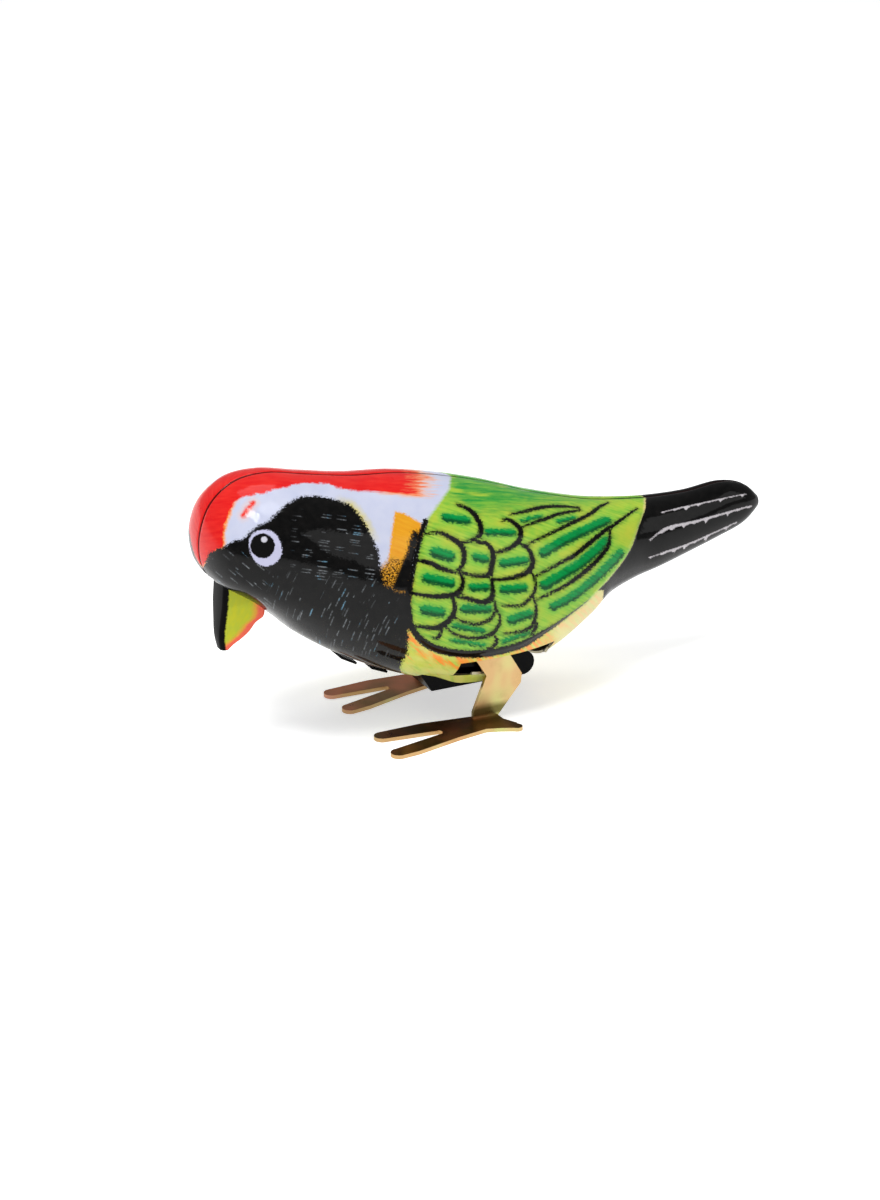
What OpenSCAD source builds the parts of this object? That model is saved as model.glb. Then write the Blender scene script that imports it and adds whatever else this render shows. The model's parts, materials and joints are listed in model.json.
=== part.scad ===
// Wind-up tin bird: two pressed tin halves round a clockwork that rocks the strip-steel legs.
// The design is drawn with x backwards from the legs, y to the bird's right and z up from the floor,
// and moved at the end so that the origin is under the middle of the whole toy.

/* [Tin shell] */
// Thickness of the pressed tin
tin = 0.45; // [0.35:0.05:0.6]
// Half of the greatest width of the body
half_width = 16.5; // [16:0.25:18]
// Radius of the hole in the right half for the key eyelet
eyelet_hole_r = 2.85; // [2.7:0.05:3.2]

/* [Beak] */
// Width of the beak at the rim of the head
beak_w = 4.6; // [4:0.1:5]
// Height of the tip of the beak above the floor
beak_tip_z = 16.8; // [15.8:0.1:17.3]

/* [Legs and feet] */
// Thickness of the steel strip
strip = 0.7; // [0.5:0.05:0.8]
// Distance from the middle plane to the inner face of each leg
leg_y = 10.8; // [10.7:0.05:11]
// Distance from the inner face of a leg to the far edge of its foot
foot_w = 8.8; // [8.4:0.1:9.2]
// Radius of the tips of the toes
toe_r = 1.45; // [1.3:0.05:1.5]
// Angle that the right foot is turned in by
right_toe_in = 4; // [0:1:6]
// Radius of the rod that the legs rock on
axle_r = 1.2; // [1:0.05:1.3]

/* [Clockwork] */
// Module of the gear teeth
gear_mod = 0.4; // [0.39:0.005:0.41]
// Thickness of the motor plates
plate_t = 0.8; // [0.6:0.05:0.8]
// Radius of the running shafts
shaft_r = 0.9; // [0.8:0.05:1]
// Distance of the crank pins from the crank shaft
crank_throw = 1.5; // [1.4:0.05:1.6]
// Turns of the mainspring
spring_turns = 6; // [4:1:7]

/* [Wind key] */
// Distance from the middle plane to the outer edge of the key
key_reach = 31; // [29:0.5:33]
// Distance of each wing's centre from the key shank
key_wing_x = 5.6; // [5:0.1:6.5]
// Radius of each wing
key_wing_r = 4.9; // [4:0.1:5]

/* [Hidden] */
$fn = 64;

// The body is a row of slanted sections from the chin to the tip of the tail. Each row holds the
// section's top point (x, z), its bottom point (x, z), its half-width as a share of the greatest one,
// and how far its widest line lies above its middle, as a share of half its height.
sections = [
    [-41.0, 30.0, -40.0, 29.0, 0.06, 0.00],
    [-42.2, 33.0, -37.5, 27.4, 0.42, 0.00],
    [-42.1, 37.4, -34.1, 25.0, 0.63, 0.05],
    [-40.1, 42.2, -30.7, 22.0, 0.76, 0.05],
    [-35.9, 45.4, -27.3, 18.8, 0.84, 0.05],
    [-30.2, 46.1, -23.5, 16.0, 0.90, 0.00],
    [-23.2, 44.8, -19.2, 13.3, 0.94, -0.05],
    [-15.2, 43.4, -13.2, 10.1, 0.97, -0.10],
    [-6.7, 42.6, -5.7, 7.1, 1.00, -0.12],
    [1.3, 41.0, 2.3, 5.3, 1.00, -0.12],
    [9.8, 38.6, 10.3, 5.1, 0.97, -0.08],
    [18.3, 35.6, 18.8, 7.6, 0.87, -0.04],
    [26.3, 33.3, 26.8, 11.6, 0.69, 0.00],
    [31.3, 32.2, 31.3, 14.8, 0.56, 0.00],
    [37.3, 31.4, 37.3, 16.7, 0.43, 0.00],
    [43.3, 30.9, 43.3, 18.0, 0.36, 0.00],
    [50.3, 30.9, 49.8, 19.7, 0.29, 0.00],
    [56.8, 31.6, 55.8, 21.4, 0.24, 0.00],
    [61.5, 30.6, 60.8, 23.1, 0.19, 0.00],
    [64.3, 28.3, 64.1, 25.6, 0.10, 0.00]
];
section_fullness = 0.92;
rings = 40;
ring_points = 16;

// Shafts and posts, as [x, z]
arbor_at = [5, 22.5];
crank_at = [12.4, 17];
leg_at = [3, 15.4];
pillars_at = [[-4.6, 20.5], [-4.6, 12], [21.6, 26.6]];

// Gear train
great_teeth = 36;
second_pinion_teeth = 9;
second_teeth = 30;
crank_pinion_teeth = 10;
third_teeth = 24;
escape_pinion_teeth = 8;
second_at = meeting_point(arbor_at, pitch_distance(great_teeth, second_pinion_teeth),
    crank_at, pitch_distance(second_teeth, crank_pinion_teeth));
escape_at = crank_at + pitch_distance(third_teeth, escape_pinion_teeth) * [cos(-20), sin(-20)];
verge_at = escape_at + [4.4, 3];
star_points = 12;
star_r = 2.9;
star_root_r = 1.9;

// Layers across the motor, as y
plate_in_y = 8.4;
plate_out_y = plate_in_y + plate_t;
spring_y = [-5.6, -1.2];
ratchet_y = [-0.7, 0.1];
great_y = [0.3, 1.3];
second_wheel_y = [3.0, 3.8];
third_wheel_y = [4.8, 5.6];
star_y = [-1.2, -0.4];
crank_y = [plate_out_y + 0.15, plate_out_y + 0.7];
run_fit = 0.05;
press_fit = 0.02;
arbor_r = 1.5;
ratchet_teeth = 12;
ratchet_r = 3.3;
ratchet_root_r = 2.3;
click_at = arbor_at + [3.47, 4.14];
spring_strip = 0.22;
spring_in_r = 2.5;
spring_out_r = 6.4;
shank_r = 2.1;
eyelet_r = [2.3, 2.75, 3.9];

// Belly openings: the motor's, as half-width, and the slot that each leg moves in, with a narrow band
// of tin left between the two as far back as band_x
belly_x = [-6.8, 17.1];
belly_half_w = 9.5;
slot_x = -1.7;
slot_in_y = 10.4;
slot_top_z = 12.4;
band_x = 9;
crank_eye_r = 3.15;

outer = [for (i = [0:rings]) [for (j = [0:ring_points]) shell_point(i, j, 0)]];
inner = [for (i = [0:rings]) [for (j = [0:ring_points]) shell_point(i, j, tin)]];
front_x = min([for (row = outer) for (p = row) p.x]);
rear_x = max([for (row = outer) for (p = row) p.x]);
middle = [(front_x + rear_x) / 2, (key_reach - max(leg_y + foot_w, half_width)) / 2, 0];

// Distance between the shafts of two gears that mesh
function pitch_distance(a, b) = (a + b) * gear_mod / 2;

// The point at distance ra from a and rb from b, on the upper side
function meeting_point(a, ra, b, rb) =
    let (d = norm(b - a), along = (ra * ra - rb * rb + d * d) / (2 * d), e = (b - a) / d)
    a + along * e + sqrt(ra * ra - along * along) * [-e.y, e.x];

function direction(a, b) = atan2(b.y - a.y, b.x - a.x);

// A smooth row between the given ones, with the half-width blended by its square
function square_width(row) = [row[0], row[1], row[2], row[3], pow(row[4] * half_width, 2), row[5]];
function row_at(i) = square_width(sections[max(0, min(i, len(sections) - 1))]);
function blend(a, b, c, d, t) =
    b + t * (c - a) / 2 + t * t * (a - 2.5 * b + 2 * c - d / 2) + t * t * t * (1.5 * (b - c) + (d - a) / 2);
function section_at(u) =
    let (i = min(floor(u), len(sections) - 2))
    blend(row_at(i - 1), row_at(i), row_at(i + 1), row_at(i + 2), u - i);

// A point of the skin: u runs along the sections, and a goes round from 0 at the back to 180 below
function skin(u, a) =
    let (s = section_at(u), top = [s[0], s[1]], bottom = [s[2], s[3]])
    let (along = cos(a) + s[5] * pow(sin(a), 2), xz = (top + bottom) / 2 + along * (top - bottom) / 2)
    [xz.x, sqrt(max(s[4], 0.01)) * pow(max(sin(a), 0), section_fullness), xz.y];

function skin_normal(u, a) =
    let (last = len(sections) - 1, u0 = max(u - 0.02, 0), u1 = min(u + 0.02, last))
    let (a0 = max(a - 1, 0.01), a1 = min(a + 1, 179.99))
    let (n = cross(skin(u1, a) - skin(u0, a), skin(u, a1) - skin(u, a0)))
    n / norm(n);

// Grid point i, j of the skin, moved in by depth, which tapers off where the section is small
function shell_point(i, j, depth) =
    let (u = i * (len(sections) - 1) / rings, a = j * 180 / ring_points)
    let (mid_a = max(0.5, min(179.5, a)), taper = min(1, skin(u, 90).y / 3))
    let (p = skin(u, a) - depth * taper * skin_normal(u, mid_a))
    [p.x, j == 0 || j == ring_points ? 0 : p.y, p.z];

// The right half as a closed sheet of tin, open on the middle plane
module half_shell() {
    n = ring_points + 1;
    o = (rings + 1) * n;
    points = concat([for (row = outer) each row], [for (row = inner) each row]);
    skins = [for (i = [0:rings - 1]) for (j = [0:ring_points - 1])
        let (a = i * n + j, b = a + 1, c = a + n, d = c + 1)
        each [[a, b, c], [b, d, c], [o + a, o + c, o + b], [o + b, o + c, o + d]]];
    rims = [for (i = [0:rings - 1])
        let (a = i * n, b = a + n, c = a + ring_points, d = c + n)
        each [[a, b, o + a], [b, o + b, o + a], [c, o + c, d], [d, o + c, o + d]]];
    front = [for (j = [1:ring_points - 1]) each [[0, j + 1, j], [o, o + j, o + j + 1]]];
    e = rings * n;
    rear = [for (j = [1:ring_points - 1]) each [[e, e + j, e + j + 1], [o + e, o + e + j + 1, o + e + j]]];
    ends = [[0, o, o + ring_points], [0, o + ring_points, ring_points],
        [e, o + e + ring_points, o + e], [e, e + ring_points, o + e + ring_points]];
    polyhedron(points = points, faces = concat(skins, rims, front, rear, ends));
}

// Children drawn flat in x and z, and given thickness from y0 to y1
module across(y0, y1) {
    translate([0, y1, 0])
        rotate([90, 0, 0])
            linear_extrude(y1 - y0)
                children();
}

module rod(at, r, y0, y1) {
    across(y0, y1)
        translate(at)
            circle(r);
}

// A flat bar with round ends, from a to b
module capsule(a, b, r) {
    way = (b - a) / norm(b - a);
    side = [-way.y, way.x] * r;
    polygon([a + side, a - side, b - side, b + side]);
    translate(a)
        circle(r);
    translate(b)
        circle(r);
}

// A spur gear with straight-sided teeth, a little thin so that it runs free
module gear(at, teeth, phase, bore, y0, y1) {
    pitch_r = teeth * gear_mod / 2;
    step = 360 / teeth;
    root_r = pitch_r - 1.15 * gear_mod;
    tip_r = pitch_r + 0.85 * gear_mod;
    corners = [[root_r, -0.29], [pitch_r, -0.2], [tip_r, -0.08], [tip_r, 0.08], [pitch_r, 0.2], [root_r, 0.29]];
    across(y0, y1)
        translate(at)
            difference() {
                polygon([for (k = [0:teeth - 1]) for (c = corners)
                    let (a = phase + (k + c.y) * step) c.x * [cos(a), sin(a)]]);
                circle(bore);
            }
}

// What the belly leaves open in each half: the motor's opening, the leg's slot and the beak's notch
module belly_cuts() {
    translate([belly_x[0], -1, 0])
        cube([belly_x[1] - belly_x[0], belly_half_w + 1, slot_top_z]);
    translate([slot_x, slot_in_y, 0])
        cube([belly_x[1] - slot_x, 10, slot_top_z]);
    translate([band_x, belly_half_w - 0.1, 0])
        cube([belly_x[1] - band_x, 10, slot_top_z]);
    translate([-44, -1, 14])
        cube([12.9, beak_w / 2 + 1.3, 16.2]);
}

module left_shell() {
    color("yellowgreen")
        mirror([0, 1, 0])
            difference() {
                half_shell();
                belly_cuts();
            }
}

module right_shell() {
    color("yellowgreen")
        difference() {
            half_shell();
            belly_cuts();
            rod(arbor_at, eyelet_hole_r, 8, 20);
        }
}

module seam_tabs() {
    tab = [3.2, 4.4, 0.4];
    color("darkolivegreen")
        for (u = [6.45, 7.3, 11.4, 12.4]) {
            s = section_at(u);
            t = section_at(u + 0.1);
            translate([s[2], 0, s[3] - 0.35])
                rotate([0, -atan2(t[3] - s[3], t[2] - s[2]), 0])
                    translate([-tab.x / 2, -tab.y / 2, -tab.z])
                        cube(tab);
        }
}

// Folded tin: a narrow front face and two sides, open behind
module beak() {
    tip = [-38.9, beak_tip_z];
    side = [[-38.5, 29.8], [-39.1, 22.8], [-39.3, 19.3], tip, tip + [1, 0.7], [-36.4, 18.4], [-34.7, 19.7],
        [-33.5, 21.3], [-31.9, 21.9], [-31.9, 29.8]];
    cavity = [[-38, 30.3], [-38.6, 22.8], [-38.8, 19.3], tip + [0.6, 0.9], [-35.7, 15.8], [-28.7, 18.8], [-28.7, 30.3]];
    color("yellowgreen")
        difference() {
            intersection() {
                across(-beak_w / 2, beak_w / 2)
                    polygon(side);
                beak_wedge(beak_w / 2);
            }
            intersection() {
                across(-beak_w / 2, beak_w / 2)
                    polygon(cavity);
                beak_wedge(beak_w / 2 - tin);
            }
        }
}

// The beak seen from in front, w wide each way at the top and narrow at the tip
module beak_wedge(w) {
    translate([-50, 0, 0])
        rotate([90, 0, 90])
            linear_extrude(25)
                polygon([[-w, 31], [-w, 25], [-w * 0.35, beak_tip_z - 0.5], [w * 0.35, beak_tip_z - 0.5], [w, 25], [w, 31]]);
}

module key_eyelet() {
    face_y = half_width + 0.1;
    color("goldenrod")
        difference() {
            union() {
                rod(arbor_at, eyelet_r[1], face_y - 2, face_y + 0.5);
                rod(arbor_at, eyelet_r[2], face_y, face_y + 0.5);
            }
            rod(arbor_at, eyelet_r[0], face_y - 3, face_y + 1);
        }
}

// A side plate of the motor, bored for every shaft and post, from y0 to y1
module motor_plate(y0, y1) {
    bores = [[arbor_at, arbor_r + run_fit], [second_at, shaft_r + run_fit], [crank_at, shaft_r + run_fit],
        [escape_at, shaft_r + run_fit], [verge_at, shaft_r + run_fit], [leg_at, axle_r + press_fit],
        for (p = pillars_at) [p, 0.8]];
    lobe = [12.6, 8.2];
    difference() {
        across(y0, y1)
            polygon([[-7, 10.6], [-7, 22], [-2, 28.5], [8, 30.5], [20, 29.5], [24, 26], [24.6, 18],
                [23, 15.6], [19, 12.9], [13.8, 12.2], [12.8, 10.3], for (a = [60:-20:-180]) lobe + 2.2 * [cos(a), sin(a)]]);
        for (b = bores)
            rod(b[0], b[1], y0 - 1, y1 + 1);
    }
}

module left_plate() {
    color("dimgray")
        motor_plate(-plate_out_y, -plate_in_y);
}

module right_plate() {
    color("dimgray")
        motor_plate(plate_in_y, plate_out_y);
}

// A black channel between the plates, its front turned up
module base_plate() {
    w = plate_in_y - press_fit;
    color("dimgray")
        difference() {
            across(-w, w)
                polygon([[-6.4, 9], [-4.4, 5.8], [8.2, 5.8], [8.2, 10.6], [-5.6, 10.6]]);
            across(-w + 0.7, w - 0.7)
                polygon([[-5.6, 9], [-4, 6.5], [9, 6.5], [9, 12], [-5.6, 12]]);
        }
}

module frame_pillars() {
    color("silver")
        for (p = pillars_at) {
            rod(p, 1.3, -plate_in_y, plate_in_y);
            rod(p, 0.8 - press_fit, -plate_out_y, plate_out_y);
        }
}

module pillar_rivets() {
    head_t = 0.45;
    color("silver")
        for (p = pillars_at)
            for (side = [-1, 1])
                translate([p.x, side * (plate_out_y + (side < 0 ? head_t : 0)), p.y])
                    rotate([-90, 0, 0])
                        cylinder(h = head_t, r = 1.5);
}

// A flat spiral strip from the arbor's hub out to the front pillar
module mainspring() {
    steps = 16 * spring_turns;
    end_a = 195;
    function coil(k, off) =
        let (a = end_a - 360 * spring_turns * (1 - k / steps))
        let (r = spring_in_r + (spring_out_r - spring_in_r) * k / steps + off)
        arbor_at + r * [cos(a), sin(a)];
    color("steelblue")
        across(spring_y[0], spring_y[1])
            polygon(concat([for (k = [0:steps]) coil(k, 0)], [for (k = [steps:-1:0]) coil(k, spring_strip)]));
}

// A stud in each plate, shouldered on both sides of it, that carries a leg
module leg_axle() {
    end_y = leg_y + strip + 0.7;
    head_t = 0.5;
    color("silver")
        for (side = [-1, 1]) {
            in_y = plate_in_y - head_t;
            rod(leg_at, axle_r, side > 0 ? in_y : -end_y, side > 0 ? end_y : -in_y);
            rod(leg_at, 2, side > 0 ? in_y : -plate_in_y, side > 0 ? plate_in_y : -in_y);
            rod(leg_at, 2, side > 0 ? plate_out_y : -leg_y + 0.15, side > 0 ? leg_y - 0.15 : -plate_out_y);
        }
}

module leg_washers() {
    in_y = leg_y + strip + 0.15;
    color("silver")
        for (side = [-1, 1])
            difference() {
                rod(leg_at, 2, side > 0 ? in_y : -in_y - 0.4, side > 0 ? in_y + 0.4 : -in_y);
                rod(leg_at, axle_r + press_fit, -in_y - 1, in_y + 1);
            }
}

module winding_arbor() {
    color("silver") {
        rod(arbor_at, arbor_r, -plate_out_y - 0.5, half_width + 0.5);
        rod(arbor_at, spring_in_r - 0.15, spring_y[0], spring_y[1]);
    }
}

// A butterfly key: a bored shank, with two pierced wings on its end
module wind_key() {
    shank_y = [half_width - 3.5, key_reach - key_wing_r];
    wing_y = key_reach - key_wing_r;
    tilt = 12;
    color("silver")
        translate([arbor_at.x, 0, arbor_at.y])
            rotate([0, tilt, 0])
                difference() {
                    union() {
                        rod([0, 0], shank_r, shank_y[0], shank_y[1]);
                        translate([0, 0, -0.6])
                            linear_extrude(1.2) {
                                translate([-key_wing_x, wing_y - 2.6])
                                    square([2 * key_wing_x, 5.2]);
                                for (side = [-1, 1])
                                    translate([side * key_wing_x, wing_y])
                                        circle(key_wing_r);
                            }
                    }
                    rod([0, 0], arbor_r + press_fit, shank_y[0] - 1, half_width + 0.7);
                    for (side = [-1, 1])
                        translate([side * (key_wing_x + 0.3), wing_y, -2])
                            cylinder(h = 4, r = 2.1);
                }
}

module ratchet_wheel() {
    step = 360 / ratchet_teeth;
    color("goldenrod")
        across(ratchet_y[0], ratchet_y[1])
            translate(arbor_at)
                difference() {
                    polygon([for (k = [0:ratchet_teeth - 1]) let (a = k * step)
                        each [ratchet_root_r * [cos(a), sin(a)], ratchet_r * [cos(a), sin(a)]]]);
                    circle(arbor_r + press_fit);
                }
}

module great_wheel() {
    color("goldenrod")
        difference() {
            gear(arbor_at, great_teeth, direction(arbor_at, second_at), arbor_r + run_fit, great_y[0], great_y[1]);
            rod(click_at, 0.6 + press_fit, great_y[0] - 1, great_y[1] + 1);
        }
}

module click_pin() {
    color("silver") {
        rod(click_at, 0.6, ratchet_y[0] - 0.1, great_y[1]);
        rod(click_at, 0.95, ratchet_y[0] - 0.35, ratchet_y[0] - 0.1);
    }
}

module click() {
    color("silver")
        across(ratchet_y[0], ratchet_y[1])
            difference() {
                union() {
                    translate(arbor_at)
                        polygon([[0.35, 2.62], [0.75, 2.8], [1.75, 3.2], [3.3, 3.1], [3.6, 5.1], [2.4, 4.6], [0.35, 3.7]]);
                    translate(click_at)
                        circle(1.15);
                }
                translate(click_at)
                    circle(0.6 + run_fit);
            }
}

// A leaf on the great wheel that holds the click down
module click_spring() {
    color("steelblue") {
        across(ratchet_y[0], ratchet_y[1])
            translate(arbor_at)
                polygon([[-4.6, 3.7], [-1.4, 4.75], [1.4, 4.65], [1.4, 4.45], [-1.4, 4.5], [-4.2, 3.3]]);
        rod(arbor_at + [-4.3, 3.6], 0.6, ratchet_y[0], great_y[0]);
    }
}

module second_shaft() {
    color("silver")
        rod(second_at, shaft_r, -plate_out_y - 0.4, plate_out_y + 0.4);
}

module second_pinion() {
    phase = direction(arbor_at, second_at) + 180 + 180 / second_pinion_teeth;
    color("goldenrod")
        gear(second_at, second_pinion_teeth, phase, shaft_r + press_fit, great_y[0] - 0.4, great_y[1] + 0.4);
}

module second_wheel() {
    color("goldenrod")
        gear(second_at, second_teeth, direction(second_at, crank_at), shaft_r + press_fit,
            second_wheel_y[0], second_wheel_y[1]);
}

module crank_shaft() {
    color("silver")
        rod(crank_at, shaft_r, -crank_y[1], crank_y[1]);
}

module crank_pinion() {
    phase = direction(second_at, crank_at) + 180 + 180 / crank_pinion_teeth;
    color("goldenrod")
        gear(crank_at, crank_pinion_teeth, phase, shaft_r + press_fit, second_wheel_y[0] - 0.4, second_wheel_y[1] + 0.4);
}

module third_wheel() {
    color("goldenrod")
        gear(crank_at, third_teeth, direction(crank_at, escape_at), shaft_r + press_fit,
            third_wheel_y[0], third_wheel_y[1]);
}

// A disc on the end of the crank shaft, with a pin that reaches through the eye of the leg
module crank(side) {
    y0 = side > 0 ? crank_y[0] : -crank_y[1];
    y1 = side > 0 ? crank_y[1] : -crank_y[0];
    pin_end = leg_y + strip + 0.5;
    color("silver")
        union() {
            difference() {
                rod(crank_at, 2.2, y0, y1);
                rod(crank_at, shaft_r + press_fit, y0 - 1, y1 + 1);
            }
            rod(crank_at + [0, crank_throw], 0.45, side > 0 ? y0 : -pin_end, side > 0 ? pin_end : y1);
        }
}

module left_crank() {
    crank(-1);
}

module right_crank() {
    crank(1);
}

module escape_shaft() {
    color("silver")
        rod(escape_at, shaft_r, -plate_out_y - 0.3, plate_out_y + 0.3);
}

module escape_pinion() {
    phase = direction(crank_at, escape_at) + 180 + 180 / escape_pinion_teeth;
    color("goldenrod")
        gear(escape_at, escape_pinion_teeth, phase, shaft_r + press_fit, third_wheel_y[0] - 0.3, third_wheel_y[1] + 0.3);
}

module escape_wheel() {
    step = 360 / star_points;
    color("goldenrod")
        across(star_y[0], star_y[1])
            translate(escape_at)
                difference() {
                    polygon([for (k = [0:star_points - 1]) let (a = k * step)
                        each [star_r * [cos(a), sin(a)], star_root_r * [cos(a + step / 2), sin(a + step / 2)]]]);
                    circle(shaft_r + press_fit);
                }
}

module verge_shaft() {
    color("silver")
        rod(verge_at, shaft_r, -plate_out_y - 0.3, plate_out_y + 0.3);
}

// The rocking weight, whose two tips stand just clear of the points of the star
module verge() {
    clear_r = star_r + 0.55;
    toward = direction(verge_at, escape_at);
    color("goldenrod")
        difference() {
            across(star_y[0] - 0.4, star_y[1] + 0.4)
                difference() {
                    translate(verge_at)
                        rotate(toward) {
                            translate([-1.6, -3.4])
                                square([4.8, 6.8]);
                            circle(1.8);
                        }
                    translate(escape_at)
                        circle(clear_r);
                }
            rod(verge_at, shaft_r + press_fit, star_y[0] - 2, star_y[1] + 2);
        }
}

// The left leg's outline in side view: a bent strip, with a round head and an arm to the crank's eye
module leg_outline() {
    difference() {
        union() {
            polygon([[0.7, 14], [4.4, 8.1], [1.9, 1.8], [1.9, 0], [6.6, 0], [6.8, 0.7], [11, 5.7], [11.2, 7.4], [5.4, 17]]);
            translate(leg_at)
                circle(2.9);
            capsule(leg_at, crank_at, 1.9);
            translate(crank_at)
                circle(crank_eye_r + 1.2);
        }
        translate(crank_at)
            circle(crank_eye_r);
    }
}

// A foot's outline seen from above, y being the distance from the leg's inner face: a straight toe
// and a splayed one in front, and a small one behind
module foot_outline() {
    in_toe = [-14.8, 0];
    out_toe = [-15.2, foot_w - toe_r];
    slot_end = [-5.8, 3.1];
    difference() {
        union() {
            polygon([in_toe - [0, toe_r], [-7, -1.6], [2.2, -0.4], [6.5, -0.4], [6.6, 2.8], [7.9, 5.4], [7, 7.4],
                [4.4, 6.2], [2, 5.4], [-3.6, 6.4], [-12, foot_w - 0.3], out_toe + [0, toe_r],
                out_toe - [0, toe_r], slot_end + [0, 0.7], slot_end - [0, 0.7], in_toe + [0, toe_r]]);
            translate(in_toe)
                circle(toe_r);
            translate(out_toe)
                circle(toe_r);
            translate([7.2, 6.5])
                circle(1);
        }
        translate(slot_end)
            circle(0.7);
    }
}

// The upright strip of a leg, on the right side
module leg_strip() {
    difference() {
        across(leg_y, leg_y + strip)
            leg_outline();
        rod(leg_at, axle_r + run_fit, leg_y - 1, leg_y + 2);
    }
}

// The two legs are the same pressing, so the left foot is bent outwards and the right one inwards
module left_leg() {
    color("darkkhaki") {
        mirror([0, 1, 0])
            leg_strip();
        translate([0, -leg_y, 0])
            linear_extrude(strip)
                mirror([0, 1])
                    foot_outline();
    }
}

module right_leg() {
    ankle = [4.2, leg_y + strip - 0.4];
    color("darkkhaki") {
        leg_strip();
        translate(ankle)
            linear_extrude(strip)
                rotate(right_toe_in)
                    translate([-ankle.x, 0])
                        mirror([0, 1])
                            foot_outline();
    }
}

// Moves the toy so that the origin is under its middle
module placed() {
    translate(-middle)
        children();
}

placed() left_shell();
placed() right_shell();
placed() seam_tabs();
placed() beak();
placed() key_eyelet();
placed() left_plate();
placed() right_plate();
placed() base_plate();
placed() frame_pillars();
placed() pillar_rivets();
placed() mainspring();
placed() leg_axle();
placed() leg_washers();
placed() wind_key();
placed() winding_arbor();
placed() ratchet_wheel();
placed() great_wheel();
placed() click_pin();
placed() click_spring();
placed() click();
placed() second_shaft();
placed() second_pinion();
placed() second_wheel();
placed() crank_shaft();
placed() crank_pinion();
placed() third_wheel();
placed() left_crank();
placed() right_crank();
placed() escape_shaft();
placed() escape_pinion();
placed() escape_wheel();
placed() verge_shaft();
placed() verge();
placed() left_leg();
placed() right_leg();
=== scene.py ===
"""A wind-up tin bird: fine meshes of the printed tin, the folded beak, the strip legs and the key,
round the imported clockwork. Design sizes are in millimetres, as the tin halves are drawn, and
to_row() turns them into the row's metres."""
import json
import math

import bmesh
import bpy
import numpy as np
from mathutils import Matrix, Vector


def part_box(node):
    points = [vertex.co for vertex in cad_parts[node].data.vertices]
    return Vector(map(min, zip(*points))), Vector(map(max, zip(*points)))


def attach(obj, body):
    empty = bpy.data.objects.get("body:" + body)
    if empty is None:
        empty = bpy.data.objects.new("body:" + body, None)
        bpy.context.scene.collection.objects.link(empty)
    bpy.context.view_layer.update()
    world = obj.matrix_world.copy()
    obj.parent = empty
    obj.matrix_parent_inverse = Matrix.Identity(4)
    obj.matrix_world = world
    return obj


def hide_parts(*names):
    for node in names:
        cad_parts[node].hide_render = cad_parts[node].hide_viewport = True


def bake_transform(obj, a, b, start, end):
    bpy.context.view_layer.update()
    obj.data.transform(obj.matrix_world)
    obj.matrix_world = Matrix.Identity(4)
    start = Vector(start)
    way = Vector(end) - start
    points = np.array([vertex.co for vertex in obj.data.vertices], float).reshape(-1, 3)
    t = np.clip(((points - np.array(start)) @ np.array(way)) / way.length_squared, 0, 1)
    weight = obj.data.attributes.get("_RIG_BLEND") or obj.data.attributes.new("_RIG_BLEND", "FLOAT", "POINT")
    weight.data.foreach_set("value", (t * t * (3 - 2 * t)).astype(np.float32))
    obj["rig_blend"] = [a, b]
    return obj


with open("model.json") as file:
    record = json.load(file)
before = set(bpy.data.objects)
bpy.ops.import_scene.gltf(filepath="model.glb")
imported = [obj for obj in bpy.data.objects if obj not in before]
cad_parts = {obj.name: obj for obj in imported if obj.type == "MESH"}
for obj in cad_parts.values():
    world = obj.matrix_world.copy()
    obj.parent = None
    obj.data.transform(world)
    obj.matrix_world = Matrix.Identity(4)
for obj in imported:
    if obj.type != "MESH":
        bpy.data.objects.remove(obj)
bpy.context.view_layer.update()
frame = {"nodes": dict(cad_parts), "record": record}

MM = 0.001
TIN = 0.45
HALF_WIDTH = 16.5
FULLNESS = 0.92
# The tin body's slanted sections from chin to tail: top point (x, z), bottom point (x, z), half-width
# as a share of the greatest one, and the height of the widest line above the middle
SECTIONS = np.array([
    [-41.0, 30.0, -40.0, 29.0, 0.06, 0.00],
    [-42.2, 33.0, -37.5, 27.4, 0.42, 0.00],
    [-42.1, 37.4, -34.1, 25.0, 0.63, 0.05],
    [-40.1, 42.2, -30.7, 22.0, 0.76, 0.05],
    [-35.9, 45.4, -27.3, 18.8, 0.84, 0.05],
    [-30.2, 46.1, -23.5, 16.0, 0.90, 0.00],
    [-23.2, 44.8, -19.2, 13.3, 0.94, -0.05],
    [-15.2, 43.4, -13.2, 10.1, 0.97, -0.10],
    [-6.7, 42.6, -5.7, 7.1, 1.00, -0.12],
    [1.3, 41.0, 2.3, 5.3, 1.00, -0.12],
    [9.8, 38.6, 10.3, 5.1, 0.97, -0.08],
    [18.3, 35.6, 18.8, 7.6, 0.87, -0.04],
    [26.3, 33.3, 26.8, 11.6, 0.69, 0.00],
    [31.3, 32.2, 31.3, 14.8, 0.56, 0.00],
    [37.3, 31.4, 37.3, 16.7, 0.43, 0.00],
    [43.3, 30.9, 43.3, 18.0, 0.36, 0.00],
    [50.3, 30.9, 49.8, 19.7, 0.29, 0.00],
    [56.8, 31.6, 55.8, 21.4, 0.24, 0.00],
    [61.5, 30.6, 60.8, 23.1, 0.19, 0.00],
    [64.3, 28.3, 64.1, 25.6, 0.10, 0.00],
])
LAST = len(SECTIONS) - 1


# ---------------------------------------------------------------- the tin's skin
def sections_at(u):
    """Rows of the section table at each u, smoothly blended, with half-widths squared."""
    rows = SECTIONS.copy()
    rows[:, 4] = (rows[:, 4] * HALF_WIDTH) ** 2
    i = np.clip(np.floor(u).astype(int), 0, LAST - 1)
    t = (u - i)[:, None]
    a, b, c, d = (rows[np.clip(i + step, 0, LAST)] for step in (-1, 0, 1, 2))
    return (b + t * (c - a) / 2 + t ** 2 * (a - 2.5 * b + 2 * c - d / 2)
            + t ** 3 * (1.5 * (b - c) + (d - a) / 2))


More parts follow.
